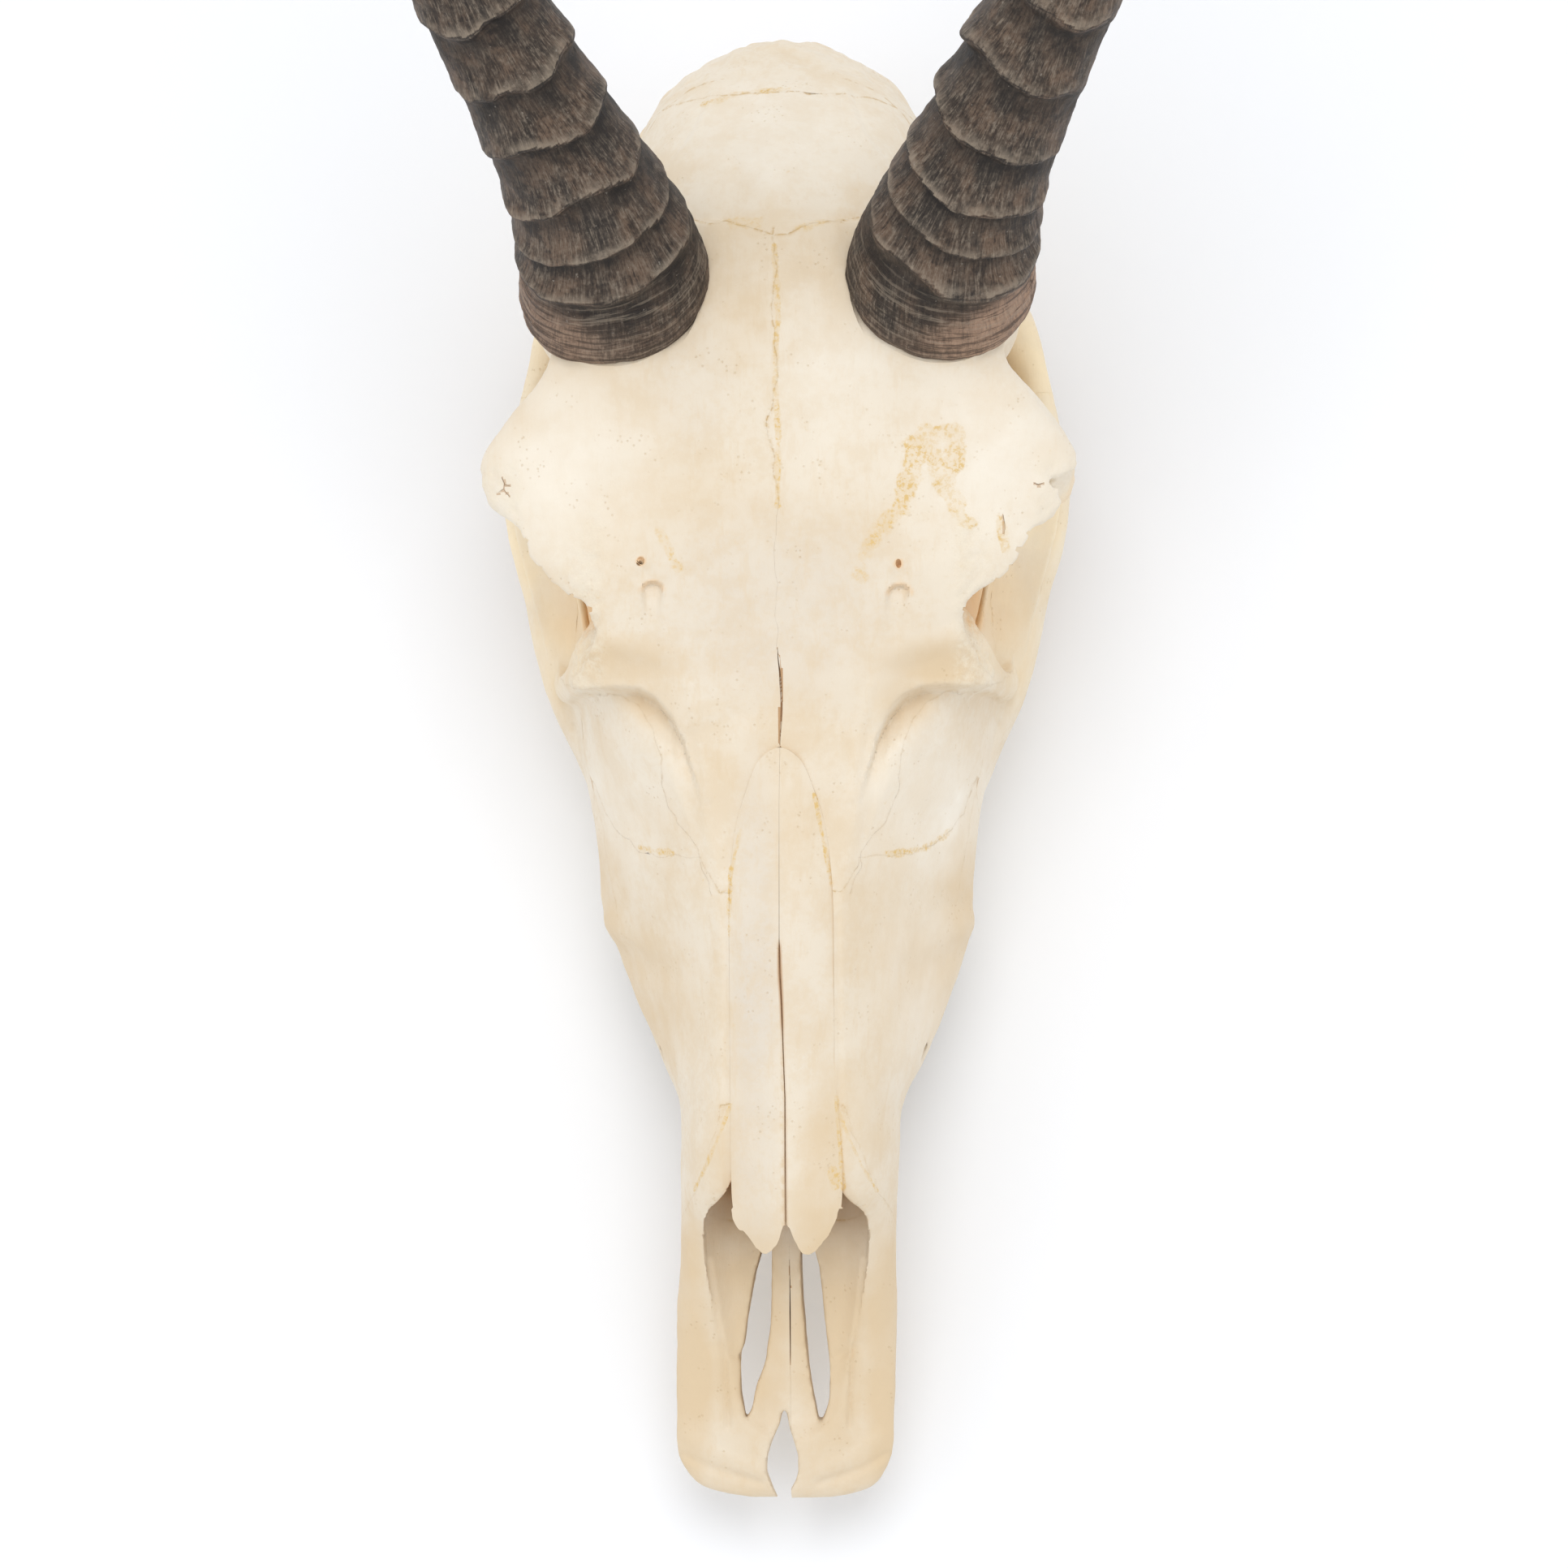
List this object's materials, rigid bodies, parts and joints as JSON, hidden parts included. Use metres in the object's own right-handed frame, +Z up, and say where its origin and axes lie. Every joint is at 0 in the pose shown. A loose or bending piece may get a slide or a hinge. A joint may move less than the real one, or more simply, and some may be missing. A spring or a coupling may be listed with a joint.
{
  "type": "blesbok skull",
  "caption": "Cleaned skull of a blesbok antelope with ringed horns and upper cheek teeth, without its lower jaw, lying as it rests on a table.",
  "frame": {"origin": "centre of the bounding box's underside, on the surface that the skull lies on", "axes": "+Z up, -Y towards the muzzle, +X towards the animal's left"},
  "size_m": [0.2456, 0.5599, 0.3087],
  "materials": {
    "bone": "matt cleaned bone, cream to grey, with golden stains along the sutures",
    "horn": "fibrous dark brown horn with pale streaks and worn ring crests"
  },
  "bodies": {
    "root": {"frontal_left": "bone", "frontal_right": "bone", "horn_left": "horn", "horn_right": "horn", "lacrimal_left": "bone", "lacrimal_right": "bone", "maxilla_left": "bone", "maxilla_right": "bone", "nasal_left": "bone", "nasal_right": "bone", "occipital": "bone", "parietal": "bone", "premaxilla_left": "bone", "premaxilla_right": "bone", "sphenoid": "bone", "temporal_left": "bone", "temporal_right": "bone", "zygomatic_left": "bone", "zygomatic_right": "bone"}
  },
  "joints": []
}
